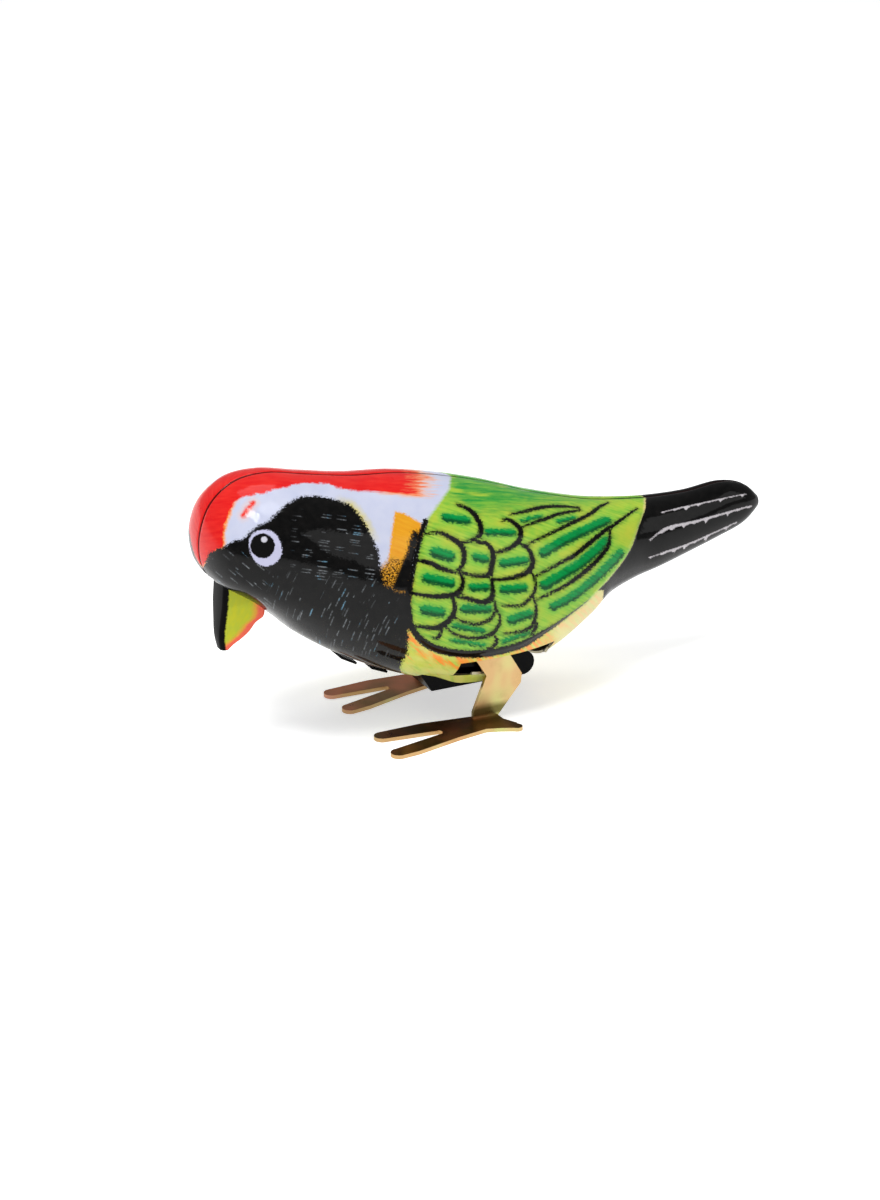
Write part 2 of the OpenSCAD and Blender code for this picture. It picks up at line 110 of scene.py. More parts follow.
def skin(u, angle):
    """Points of the right half: u runs along the sections, and angle from 0 (back) to 180 (belly)."""
    s = sections_at(u)
    top, bottom = s[:, 0:2], s[:, 2:4]
    sine, cosine = np.sin(np.radians(angle)), np.cos(np.radians(angle))
    along = (cosine + s[:, 5] * sine ** 2)[:, None]
    xz = (top + bottom) / 2 + along * (top - bottom) / 2
    y = np.sqrt(np.maximum(s[:, 4], 0.01)) * np.maximum(sine, 0) ** FULLNESS
    return np.stack([xz[:, 0], y, xz[:, 1]], 1)


def skin_normals(u, angle):
    u0, u1 = np.maximum(u - 0.02, 0), np.minimum(u + 0.02, LAST)
    a0, a1 = np.maximum(angle - 1, 0.01), np.minimum(angle + 1, 179.99)
    n = np.cross(skin(u1, angle) - skin(u0, angle), skin(u, a1) - skin(u, a0))
    return n / np.linalg.norm(n, axis=1)[:, None]


tin_low, tin_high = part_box("left_shell")
SEAM_Y = tin_high.y / MM
all_x = np.concatenate([skin(np.linspace(0, LAST, 41), np.full(41, a))[:, 0] for a in (0, 90, 180)])
SHIFT = np.array([tin_low.x / MM - all_x.min(), SEAM_Y, 0.0])


def to_row(points):
    """Design millimetres to the row's metres."""
    return (np.asarray(points, float) + SHIFT) * MM


# ---------------------------------------------------------------- camera, light and floor
CAMERA_AZIMUTH = -26.5
CAMERA_ELEVATION = 21.0
CAMERA_DISTANCE = 450.0
CAMERA_AIM = (0.0, -2.7, 19.6)
LENS = 79.65
SENSOR = 36.0
FLOOR_GLOW = 0.54
ROOM_LIGHT = 0.3
BACKDROP = 0.9


def direction(azimuth, elevation):
    """The way from the toy to something seen at that azimuth and elevation."""
    a, e = math.radians(azimuth), math.radians(elevation)
    return Vector((math.sin(a) * math.cos(e), -math.cos(a) * math.cos(e), math.sin(e)))


def make_camera():
    aim = Vector(to_row(CAMERA_AIM))
    back = direction(CAMERA_AZIMUTH, CAMERA_ELEVATION)
    data = bpy.data.cameras.new("camera")
    data.sensor_fit = "VERTICAL"
    data.sensor_height = SENSOR
    data.lens = LENS
    data.clip_start = 0.01
    data.clip_end = 20
    camera = bpy.data.objects.new("camera", data)
    camera.location = aim + back * CAMERA_DISTANCE * MM
    camera.rotation_euler = back.to_track_quat("Z", "Y").to_euler()
    bpy.context.scene.collection.objects.link(camera)
    bpy.context.scene.camera = camera


def soft_box(name, azimuth, elevation, distance, width, height, watts):
    data = bpy.data.lights.new(name, "AREA")
    data.shape = "RECTANGLE"
    data.size = width
    data.size_y = height
    data.energy = watts
    light = bpy.data.objects.new(name, data)
    way = direction(azimuth, elevation)
    light.location = Vector(to_row((0, 0, 20))) + way * distance
    light.rotation_euler = way.to_track_quat("Z", "Y").to_euler()
    bpy.context.scene.collection.objects.link(light)


def make_studio():
    world = bpy.data.worlds.new("studio")
    world.use_nodes = True
    nodes, links = world.node_tree.nodes, world.node_tree.links
    background = nodes["Background"]
    background.inputs["Color"].default_value = (0.97, 0.985, 1.0, 1)
    seen = nodes.new("ShaderNodeLightPath")
    strength = nodes.new("ShaderNodeMapRange")
    links.new(seen.outputs["Is Camera Ray"], strength.inputs["Value"])
    strength.inputs["To Min"].default_value = ROOM_LIGHT
    strength.inputs["To Max"].default_value = BACKDROP
    links.new(strength.outputs["Result"], background.inputs["Strength"])
    scene = bpy.context.scene
    scene.world = world
    scene.view_settings.view_transform = "Standard"
    scene.view_settings.look = "None"
    soft_box("key_light", -66, 63, 0.75, 0.3, 0.16, 3.3)
    soft_box("top_light", 10, 80, 0.8, 0.4, 0.25, 1.6)
    soft_box("fill_light", 45, 25, 0.9, 0.5, 0.5, 0.95)
    soft_box("back_light", 175, 62, 0.9, 0.6, 0.3, 1.4)
    bpy.ops.mesh.primitive_plane_add(size=6, location=(0, 0, 0))
    floor = bpy.context.object
    floor.name = "floor"
    material = bpy.data.materials.new("pale_floor")
    material.use_nodes = True
    shader = material.node_tree.nodes["Principled BSDF"]
    shader.inputs["Base Color"].default_value = (0.93, 0.93, 0.93, 1)
    shader.inputs["Roughness"].default_value = 0.7
    shader.inputs["Emission Color"].default_value = (1, 1, 1, 1)
    shader.inputs["Emission Strength"].default_value = FLOOR_GLOW
    floor.data.materials.append(material)


make_camera()
make_studio()


# ---------------------------------------------------------------- node helpers
class Shader:
    """A material with short calls for the nodes that it is made of."""

    def __init__(self, name):
        self.material = bpy.data.materials.new(name)
        self.material.use_nodes = True
        self.nodes = self.material.node_tree.nodes
        self.links = self.material.node_tree.links
        self.out = self.nodes["Principled BSDF"]

    def link(self, value, socket):
        if isinstance(value, bpy.types.NodeSocket):
            self.links.new(value, socket)
        elif isinstance(value, tuple) and len(value) == 3 and socket.type == "RGBA":
            socket.default_value = (*value, 1)
        else:
            socket.default_value = value

    def node(self, kind, **inputs):
        node = self.nodes.new(kind)
        for key, value in inputs.items():
            self.link(value, node.inputs[key.replace("_", " ")])
        return node

    def attribute(self, name, output="Fac"):
        node = self.nodes.new("ShaderNodeAttribute")
        node.attribute_name = name
        return node.outputs[output]

    def position(self):
        """The object's own coordinates, in metres."""
        return self.nodes.new("ShaderNodeTexCoord").outputs["Object"]

    def math(self, operation, a, b=0.0, c=0.0):
        node = self.nodes.new("ShaderNodeMath")
        node.operation = operation
        for socket, value in zip(node.inputs, (a, b, c)):
            self.link(value, socket)
        return node.outputs[0]

    def times(self, *factors):
        product = factors[0]
        for factor in factors[1:]:
            product = self.math("MULTIPLY", product, factor)
        return product

    def wander(self, value, noise, reach):
        """The value, moved by the noise up to reach either way."""
        return self.math("ADD", value, self.math("MULTIPLY_ADD", noise, 2 * reach, -reach))

    def axes(self, vector):
        """The vector's three numbers."""
        node = self.nodes.new("ShaderNodeSeparateXYZ")
        self.link(vector, node.inputs[0])
        return list(node.outputs)

    def band(self, value, low, high, soft):
        """1 between low and high, fading over soft at each end."""
        return self.times(self.ramp(value, low, low + soft), self.ramp(value, high, high - soft))

    def stretch(self, vector, scale, turn=0.0):
        """The vector turned about its third axis, then scaled along each axis."""
        turned = self.node("ShaderNodeVectorRotate", Vector=vector, Angle=math.radians(turn))
        node = self.nodes.new("ShaderNodeVectorMath")
        node.operation = "MULTIPLY"
        self.link(turned.outputs[0], node.inputs[0])
        node.inputs[1].default_value = scale
        return node.outputs[0]

    def noise(self, vector, scale, detail=3.0, roughness=0.55):
        node = self.node("ShaderNodeTexNoise", Vector=vector, Scale=scale, Detail=detail,
                         Roughness=roughness)
        return node.outputs["Fac"]

    def ramp(self, value, low, high, to_low=0.0, to_high=1.0):
        node = self.nodes.new("ShaderNodeMapRange")
        for socket, item in zip(node.inputs, (value, low, high, to_low, to_high)):
            self.link(item, socket)
        return node.outputs[0]

    def mix(self, share, a, b):
        node = self.nodes.new("ShaderNodeMix")
        node.data_type = "RGBA"
        self.link(share, node.inputs["Factor"])
        self.link(a, [s for s in node.inputs if s.name == "A" and s.type == "RGBA"][0])
        self.link(b, [s for s in node.inputs if s.name == "B" and s.type == "RGBA"][0])
        return [s for s in node.outputs if s.type == "RGBA"][0]

    def bump(self, height, distance, strength=1.0, before=None):
        node = self.node("ShaderNodeBump", Height=height, Distance=distance, Strength=strength)
        if before is not None:
            self.link(before, node.inputs["Normal"])
        return node.outputs[0]

    def finish(self, **inputs):
        for key, value in inputs.items():
            self.link(value, self.out.inputs[key.replace("_", " ")])
        return self.material


def ink(red, green, blue):
    """An sRGB colour from 0 to 255 as the linear colour that nodes take."""
    def linear(value):
        value /= 255
        return value / 12.92 if value <= 0.04045 else ((value + 0.055) / 1.055) ** 2.4
    return (linear(red), linear(green), linear(blue))


# ---------------------------------------------------------------- the print, in mm on a flat sheet
# The picture is drawn on a plane square to PRINT_WAY: p runs from head to tail, and q upwards
PRINT_AZIMUTH = -30.0
PRINT_ELEVATION = 25.0
P_AXIS = np.array([math.cos(math.radians(PRINT_AZIMUTH)), math.sin(math.radians(PRINT_AZIMUTH)), 0])
Q_AXIS = np.cross(np.array(direction(PRINT_AZIMUTH, PRINT_ELEVATION)), P_AXIS)

WING_FRONT = [(-0.25, 28.5), (-1, 25.75), (-1.75, 21.75), (-2.5, 17), (-2.75, 13.75), (-2.5, 11.25)]
WING_BELOW = [(-1.25, 9.25), (0.5, 8), (3, 7.25), (6.25, 7), (9.25, 7.25), (12.5, 8), (15.75, 9.25),
              (18.5, 11), (21.25, 13), (24, 15.25), (26.25, 17.25), (29.5, 21), (32.25, 24.75),
              (33.75, 27.5), (34.75, 30.75), (35.75, 33.75)]
BACK_START = [(3, 50), (3, 34.5), (1.5, 31.5)]
CHEEK_TOP = [(-34.25, 21.75), (-31.5, 22.5), (-29.5, 23.5), (-28.5, 23.5), (-26.5, 25.5), (-24.5, 26.5),
             (-22, 29.5), (-20, 31), (-17.5, 31.5), (-14.5, 31), (-12.5, 30.5), (-11, 29), (-9.5, 27),
             (-8.5, 25), (-7.5, 23), (-7, 20)]
CHEEK_REAR = [(-6.5, 17.5), (-4.5, 16.5), (-2.5, 16.5), (-2.5, 11.25), (-2.75, 10), (-3, 7), (-4.5, 5)]
CAP_EDGE = [(-31.75, 22.5), (-31.75, 25), (-31.25, 27), (-30.25, 29.5), (-29, 30.5), (-26.75, 31),
            (-22.5, 32.5), (-20.25, 33.5), (-17.75, 33.75), (-15.75, 33.75), (-13.5, 33), (-7.75, 33),
            (-4.5, 33), (0, 33), (3, 34.5)]
# The pale head colour runs on under the black and the green that cover its edges
PALE = [(-60, 50), (-60, 5), (-37, 14), (-30, 18), (-24, 20), (-18, 25), (-12, 22), (-9, 18), (-6, 14.5),
        (0, 14), (1.5, 22), (4, 31), (6, 50)]
ORANGE_BAR = [(-5.25, 29.75), (-3.75, 29.5), (-1, 28), (-0.75, 26), (-3.5, 20.5), (-6, 21)]
STIPPLE = [(-7.25, 20), (-5.5, 22), (-3, 22), (-2.25, 18.5), (-2.75, 14), (-6.5, 14), (-8, 17)]
COLUMN = [(-2.25, 26.75), (-1.25, 26.5), (-0.25, 28.5), (-1, 25.75), (-1.75, 21.75), (-2.5, 17), (-5, 17),
          (-4, 20), (-3.25, 22.5), (-2.75, 25)]
EYE_RING = [(-25, 25.2), (-23.5, 24.7), (-22.5, 23.4), (-22.2, 21.8), (-22.8, 20.4), (-24.4, 19.4),
            (-26, 19.8), (-27, 21.2), (-27.4, 23.2), (-26.7, 24.6)]
PUPIL = ((-25.25, 22.6), 1.95)
GLINT = ((-25.0, 23.6), 0.5)
RED_DASH = [(-28.5, 27.5), (-27.25, 29.5)]
TAIL_EDGE = [(36, 50), (36, 34.5), (34.75, 30.75), (33.75, 27.5), (32.25, 24.75), (29.5, 21),
             (27.75, 19.25), (29, 19.5), (29, -20)]
BACK_EDGE = [(3, 34), (4.5, 32.25), (8, 31), (12, 31.5), (15, 32), (20, 34), (26, 35), (32, 36), (37, 36.5)]

# Black strokes round the scale feathers, by column, and along the flight feathers
SCALE_STROKES = [
    [(4.5, 31.75), (6, 31.25), (7.25, 30.25), (8.25, 28.5), (8.25, 26.75), (7, 25.75), (5.5, 25.25)],
    [(-0.25, 26.25), (2, 26.5), (3.75, 25.75), (5, 25), (5.75, 23.75), (5.75, 22), (5.25, 21),
     (4.5, 20.25)],
    [(-1.25, 21.75), (0.5, 21.5), (2.25, 20.75), (4.5, 20.25)],
    [(5.25, 20.25), (5.75, 19), (5.5, 17.75), (4.5, 16.75), (1.75, 16.25), (-0.25, 16.25), (-2.25, 16.5)],
    [(4, 16.5), (4.5, 15), (4.25, 13.5), (3.25, 12.25), (2, 11.5), (0.5, 11.25), (-1.75, 11.5)],
    [(7.75, 25.25), (9, 25.5), (10, 24.75), (10.5, 23.25), (10.25, 21.75), (10, 20.5), (9, 20), (7.25, 20),
     (5.75, 20.25)],
    [(10.25, 19.75), (10.5, 18.25), (10.5, 17), (10, 16.25), (8.75, 15.75), (6.5, 16.25), (4.5, 16.5)],
    [(11.75, 29.5), (12.75, 29.75), (14, 29), (14.75, 28), (14.5, 26.25), (13.25, 25), (11.75, 24.25),
     (10.5, 23.75)],
    [(15, 25.5), (16, 25), (16.75, 23.5), (16.75, 22.25), (15.75, 21), (14.25, 20.25), (12.25, 19.75),
     (10.5, 19.5)],
]
FINE_STROKES = [
    [(2.5, 11.5), (2.25, 10.5), (1.75, 9.75), (1, 9.75)],
    [(10.75, 16.25), (11, 15), (10.5, 13.5), (9.5, 12.75), (8, 12.25), (6, 12.5), (4.5, 13)],
    [(11.25, 14.75), (11.75, 13.5), (11.5, 12.25), (10.5, 11), (9, 10.25), (6.75, 10), (4.5, 10.5),
     (3, 11.5)],
    [(10.75, 10.75), (11.25, 10), (10.75, 9), (9.75, 8.5)],
    [(16.5, 21.25), (17.25, 20), (17.25, 18.25), (16.5, 17), (15.25, 15.75), (13.5, 15.5), (12, 15.5)],
    [(17, 17.25), (17.5, 15.5), (17.25, 13.5), (16.5, 12.25), (14.75, 11.5), (12.25, 11)],
    [(17.5, 13.25), (17.5, 12.5), (16.75, 11.25)],
]
FLIGHT_STROKES = [
    [(13, 30.75), (15.25, 31.5), (17.5, 32.5), (20.25, 33.25), (24.5, 33.5)],
    [(14.75, 28.5), (18.75, 30.5), (21, 31.75), (24.75, 33)],
    [(15.5, 25.5), (19.75, 28), (24.5, 31), (26.5, 32.5), (28, 34), (29.5, 35)],
    [(17.25, 20.5), (21.5, 23.25), (23.75, 24.75), (28.25, 29), (30.5, 30.75), (34.5, 34.25)],
    [(17.5, 16.75), (21.75, 19.25), (23.75, 20.75), (26, 22.75), (28, 25), (29.25, 27), (29.5, 29.75)],
]
# Green dashes: their middle line and half their width
DASHES = [
    ([(2.75, 29.25), (6, 29)], 0.8), ([(1.25, 23.25), (3.5, 22.75)], 0.95), ([(0, 19), (3.75, 18.5)], 0.85),
    ([(-0.25, 14), (2.25, 13.75)], 0.85), ([(7.75, 23), (9.25, 22.75)], 0.75),
    ([(7.25, 18), (9.5, 18.25)], 0.7),
    ([(6, 14.5), (9.75, 14.75)], 0.75), ([(4.5, 11.75), (9, 11.25)], 0.5), ([(4, 9.5), (9.25, 9)], 0.35),
    ([(9.5, 27.25), (13.5, 27.5)], 0.65), ([(12, 22.25), (15.5, 23)], 0.75),
    ([(12.25, 18), (15.5, 18.5)], 0.75),
    ([(13.5, 13.25), (16.5, 14.5)], 0.75), ([(12.25, 9.75), (16.25, 11.5)], 0.4),
    ([(18.5, 24.5), (21.25, 26.5), (24.5, 28.5), (29, 31.25)], 0.85),
    ([(18.75, 19.25), (21, 20.75), (24.75, 23.5), (28.75, 27.5)], 0.85),
    ([(20.25, 16), (22.75, 17.5), (25.25, 19.5), (28.5, 22.75), (31.25, 26)], 0.7),
    ([(21, 30.25), (23.5, 31.25)], 0.5), ([(15, 29.75), (18, 31)], 0.4),
]
# Pale tail shafts: their middle line and half their width
TAIL_SHAFTS = [
    ([(39, 34), (45.5, 36), (54, 38.5)], 0.12),
    ([(37, 29), (40, 31.2), (45.5, 33), (55, 36.5)], 0.24),
    ([(37, 26), (44, 29), (52.5, 33.5)], 0.14),
]
# The barbs along a tail shaft: their spacing and length
BARB_PITCH = 2.1
BARB_REACH = 0.95
# A dash is dark along its lower side, outside its own shape moved up by this share of its half width
RIM_RISE = 1.0
# Half the width of each kind of stroke
SCALE_HALF = 0.36
FINE_HALF = 0.24
FLIGHT_HALF = 0.3
WING_FRONT_HALF = 0.42
RED_DASH_HALF = 0.4
TICK_FADE = 1.5
# Beyond every edge of the sheet
FAR = 60.0


def curve_through(points, closed=False, steps=6):
    """A smooth line through the points."""
    pts = np.array(points, float)
    n = len(pts)
    count = n if closed else n - 1
    out = []
    for i in range(count):
        if closed:
            a, b, c, d = (pts[(i + k) % n] for k in (-1, 0, 1, 2))
        else:
            a, b, c, d = (pts[min(max(i + k, 0), n - 1)] for k in (-1, 0, 1, 2))
        for step in range(steps):
            t = step / steps
            out.append(b + t * (c - a) / 2 + t * t * (a - 2.5 * b + 2 * c - d / 2)
                       + t ** 3 * (1.5 * (b - c) + (d - a) / 2))
    if not closed:
        out.append(pts[-1])
    return np.array(out)


def distance_to(pq, line, closed=False):
    """Distance of each point of pq from the line."""
    best = np.full(len(pq), 1e9)
    ends = np.roll(line, -1, 0) if closed else line[1:]
    for a, b in zip(line, ends):
        step = b - a
        t = np.clip(((pq - a) @ step) / max(step @ step, 1e-9), 0, 1)
        best = np.minimum(best, np.linalg.norm(pq - a - t[:, None] * step, axis=1))
    return best


def depth_outside(pq, corners):
    """Signed distance from a closed outline: below zero inside it."""
    corners = np.array(corners, float)
    inside = np.zeros(len(pq), bool)
    for a, b in zip(corners, np.roll(corners, -1, 0)):
        crosses = (a[1] > pq[:, 1]) != (b[1] > pq[:, 1])
        with np.errstate(divide="ignore", invalid="ignore"):
            at = a[0] + (pq[:, 1] - a[1]) * (b[0] - a[0]) / (b[1] - a[1])
        inside ^= crosses & (pq[:, 0] < at)
    away = distance_to(pq, corners, closed=True)
    return np.where(inside, -away, away)


def strokes(pq, lines, half_width):
    """Brush strokes, thickest half way along."""
    best = np.full(len(pq), 1e9)
    for line in lines:
        curve = curve_through(line, steps=4)
        count = len(curve) - 1
        for i in range(count):
            swell = 0.65 + 0.6 * math.sin(math.pi * (i + 0.5) / count)
            best = np.minimum(best, distance_to(pq, curve[i:i + 2]) - half_width * swell)
    return best


def barbed(pq, line, half_width):
    """A pale feather shaft that thins towards the tail's tip, with barbs along its lower side."""
    arc = np.concatenate([[0], np.cumsum(np.linalg.norm(np.diff(line, axis=0), axis=1))])
    best, where, below = np.full(len(pq), 1e9), np.zeros(len(pq)), np.zeros(len(pq))
    for a, b, start in zip(line, line[1:], arc):
        step = b - a
        t = np.clip(((pq - a) @ step) / (step @ step), 0, 1)
        gap = pq - a - t[:, None] * step
        away = np.linalg.norm(gap, axis=1)
        nearer = away < best
        best = np.where(nearer, away, best)
        where = np.where(nearer, start + t * np.linalg.norm(step), where)
        below = np.where(nearer, -gap[:, 1], below)
    thin = (1.15 - 0.75 * where / arc[-1]) * np.clip(where / 3, 0.2, 1)
    phase = where / BARB_PITCH
    tooth = (1 - phase % 1) ** 4 * (0.55 + 0.45 * np.sin(2.7 * np.floor(phase) + 1))
    reach = half_width * thin + np.where(below > 0, BARB_REACH * tooth * thin, 0)
    return best - reach


def print_layers(points):
    """The print's layers as signed distances in mm, below zero where the ink is."""
    sheet = points * (1, -1, 1)
    p, q = sheet @ P_AXIS, sheet @ Q_AXIS
    pq = np.stack([p, q], 1)
    wing_line = list(curve_through(WING_FRONT + WING_BELOW))
    green = depth_outside(pq, BACK_START + wing_line + [(36, 50)])
    cheek = depth_outside(pq, [(-FAR, 5), (-37, 18), *CHEEK_TOP, *CHEEK_REAR, (-6, -FAR), (-FAR, -FAR)])
    pale = depth_outside(pq, PALE)
    cap_corners = [(-FAR, FAR), (-FAR, 5), (-38, 18), (-34.25, 21.25), *curve_through(CAP_EDGE), (3, FAR)]
    cap = depth_outside(pq, cap_corners)
    line_low = WING_BELOW[:-5]
    rim = distance_to(pq, curve_through(WING_FRONT[-2:] + line_low) + (0, 0.4))
    rim_width = 0.7 * np.clip((28 - p) / 12, 0.1, 1) * np.clip((p + 8) / 8, 0.6, 1)
    front = distance_to(pq, curve_through(WING_FRONT) + (-0.1, 0)) - WING_FRONT_HALF
    lines = np.minimum.reduce([
        strokes(pq, SCALE_STROKES, SCALE_HALF), strokes(pq, FINE_STROKES, FINE_HALF),
        strokes(pq, FLIGHT_STROKES, FLIGHT_HALF), rim - rim_width, front])
    bars, bar_rims = np.full(len(pq), 1e9), np.full(len(pq), 1e9)
    for line, half in DASHES:
        curve = curve_through(line, steps=3)
        bars = np.minimum(bars, distance_to(pq, curve) - half)
        bar_rims = np.minimum(bar_rims, distance_to(pq, curve + (0, RIM_RISE * half)) - half)
    shafts = np.full(len(pq), 1e9)
    for line, half in TAIL_SHAFTS:
        shafts = np.minimum(shafts, barbed(pq, curve_through(line), half))
    away = np.linalg.norm(pq - PUPIL[0], axis=1)
    return {
        "green": green,
        "pale": pale,
        "cheek": cheek,
        "cap": cap,
        "back": depth_outside(pq, [(3, FAR)] + BACK_EDGE + [(FAR, FAR)]),
        "lines": lines,
        "bars": bars,
        "bar_rims": bar_rims,
        "tail": depth_outside(pq, TAIL_EDGE + [(FAR + 20, -20), (FAR + 20, 50)]),
        "shafts": shafts,
        "eye": depth_outside(pq, curve_through(EYE_RING, closed=True)),
        "pupil": away - PUPIL[1],
        "glint": np.linalg.norm(pq - GLINT[0], axis=1) - GLINT[1],
        "bar": depth_outside(pq, ORANGE_BAR),
        "stipple": depth_outside(pq, STIPPLE),
        "column": depth_outside(pq, COLUMN),
        "dash": distance_to(pq, np.array(RED_DASH)) - RED_DASH_HALF,
        "wing": depth_outside(pq, [(3, 34), (1.5, 31.5)] + wing_line + [(30, 35), (20, 33), (10, 31)]),
    }, pq


def printed_tin():
    s = Shader("printed_tin")
    pq = s.attribute("print", "Vector")
    rough = s.noise(pq, 3.2, 4, 0.7)
    hairy = s.noise(pq, 1.1, 5, 0.75)
    wash = s.noise(pq, 0.22, 3)
    along = s.noise(s.stretch(pq, (0.18, 1.9, 1), 18), 1.3, 4, 0.65)

    def cover(name, ragged=0.35, soft=0.07, source=None, grow=0.0):
        """1 where that layer's ink is, with an edge that wavers by ragged mm."""
        edge = s.wander(s.attribute(name), rough if source is None else source, ragged)
        return s.ramp(edge, grow + soft, grow - soft)

    leaf = s.mix(s.ramp(along, 0.35, 0.65), ink(114, 178, 58), ink(164, 196, 66))
    leaf = s.mix(s.ramp(wash, 0.45, 0.7), leaf, ink(178, 190, 62))
    streak = s.noise(s.stretch(pq, (0.14, 1.5, 1), -4), 1.5, 5, 0.7)
    back = s.mix(s.ramp(streak, 0.4, 0.62), ink(34, 142, 56), ink(112, 176, 60))
    back = s.mix(s.ramp(s.noise(s.stretch(pq, (0.2, 0.9, 1)), 0.7, 2), 0.55, 0.72), back, ink(176, 196, 60))
    tint = s.mix(s.ramp(s.wander(s.attribute("back"), streak, 2.0), 1.2, -1.4), leaf, back)
    halo = s.ramp(s.math("ADD", s.attribute("bars"), s.math("MULTIPLY", rough, 0.6)), 1.1, 0.1)
    tint = s.mix(s.math("MULTIPLY", halo, 0.75), tint, ink(96, 182, 66))
    bar_core = s.mix(s.ramp(along, 0.3, 0.55), ink(0, 108, 48), ink(0, 142, 66))
    shaded = s.ramp(s.wander(s.attribute("bar_rims"), rough, 0.6), -0.1, 0.3)
    bar_core = s.mix(s.math("MULTIPLY", shaded, 0.85), bar_core, ink(4, 50, 26))
    brush = s.noise(s.stretch(pq, (0.7, 1.4, 1), 8), 2.4, 5, 0.8)
    tint = s.mix(cover("bars", 1.2, 0.16, brush), tint, bar_core)

    smudge = s.ramp(s.math("MULTIPLY_ADD", along, 1.6, s.attribute("lines")), 1.3, 0.7)
    tint = s.mix(s.math("MULTIPLY", smudge, 0.45), tint, ink(62, 84, 36))

    fringe = s.noise(s.stretch(pq, (0.35, 1.5, 1), 38), 0.75, 4, 0.65)
    belly = s.mix(s.ramp(wash, 0.4, 0.62), ink(190, 200, 86), ink(206, 202, 108))
    mottle = s.noise(s.stretch(pq, (0.5, 1.4, 1), 30), 0.8, 3)
    belly = s.mix(s.ramp(mottle, 0.5, 0.75), belly, ink(152, 186, 76))
    smears = s.times(s.ramp(fringe, 0.56, 0.66), s.ramp(s.noise(pq, 0.16, 2), 0.42, 0.55))
    belly = s.mix(smears, belly, ink(243, 140, 58))
    under_wing = s.ramp(s.wander(s.attribute("green"), wash, 2.5), 2.4, 1.2)
    under_wing = s.math("MULTIPLY", under_wing, s.ramp(fringe, 0.42, 0.56))
    belly = s.mix(s.math("MULTIPLY", under_wing, 0.85), belly, ink(244, 136, 56))
    p_at, q_at = s.axes(pq)[:2]
    rearward = s.ramp(s.math("MULTIPLY_ADD", wash, 8.0, p_at), 20, 27, 0.0, 0.7)
    belly = s.mix(rearward, belly, ink(220, 212, 158))
    cloud = s.mix(s.ramp(s.noise(pq, 0.35, 3), 0.3, 0.75), ink(186, 191, 214), ink(202, 205, 223))
    tinge = s.ramp(s.math("ADD", s.attribute("cheek"), s.math("MULTIPLY", hairy, 1.6)), 2.0, 0.8)
    tinge = s.times(tinge, s.ramp(p_at, -15, -12), s.ramp(q_at, 24, 27))
    cloud = s.mix(s.math("MULTIPLY", tinge, 0.85), cloud, ink(206, 192, 96))
    colour = s.mix(cover("pale", 0.1), belly, cloud)
    green_grain = s.noise(s.stretch(pq, (0.4, 1.6, 1)), 1.6, 4, 0.7)
    colour = s.mix(cover("green", 0.45, 0.3, green_grain), colour, tint)
    brushed = s.noise(s.stretch(pq, (0.2, 1.9, 1), -3), 1.5, 5, 0.75)
    cap_grain = s.mix(s.ramp(p_at, -12, -8), hairy, brushed)
    frayed = s.math("MULTIPLY_ADD", brushed, 11.0, p_at)
    front_glow = s.ramp(p_at, -29, -31)
    rear_glow = s.ramp(frayed, 6.6, 3.6, 0.0, 0.85)
    glow = s.math("MAXIMUM", front_glow, s.math("MULTIPLY", rear_glow, s.ramp(p_at, -9, -6)))
    colour = s.mix(s.times(cover("cap", 0.9, 0.3, cap_grain, 0.35), glow), colour, ink(242, 158, 76))
    red_streak = s.noise(s.stretch(pq, (0.3, 1.6, 1)), 1.1, 4)
    red = s.mix(s.ramp(red_streak, 0.35, 0.75), ink(214, 22, 24), ink(226, 44, 36))
    red_cover = s.math("MULTIPLY", cover("cap", 0.9, 0.2, cap_grain), s.ramp(frayed, 5.0, 1.8))
    colour = s.mix(red_cover, colour, red)
    colour = s.mix(s.times(cover("dash", 0.6, 0.7, hairy, 0.35), 0.4), colour, ink(244, 172, 110))
    colour = s.mix(cover("dash", 0.7, 0.25, hairy), colour, ink(224, 58, 50))
    orange = s.mix(s.ramp(along, 0.3, 0.75), ink(216, 142, 28), ink(226, 164, 40))
    colour = s.mix(cover("bar", 0.7, 0.15), colour, orange)
    colour = s.mix(cover("stipple", 0.9, 0.4), colour, ink(214, 150, 40))

    soot = s.mix(s.ramp(s.noise(pq, 0.9, 4), 0.35, 0.75), ink(3, 3, 3), ink(15, 14, 13))
    density = s.math("MULTIPLY_ADD", q_at, -0.012, s.noise(pq, 3.4, 4, 0.85))
    speck = s.ramp(density, 0.25, 0.275)
    colour = s.mix(s.math("MULTIPLY", cover("stipple", 1.6, 0.3, hairy), speck), colour, soot)
    colour = s.mix(cover("column", 1.9, 0.1, s.noise(pq, 3.4, 5, 0.85)), colour, soot)
    colour = s.mix(cover("cheek", 1.5, 0.1, s.noise(pq, 2.6, 5, 0.85)), colour, soot)
    colour = s.mix(cover("lines", 0.7, 0.06, s.noise(pq, 3.4, 4, 0.8)), colour, soot)
    colour = s.mix(cover("tail", 0.35, 0.1), colour, soot)

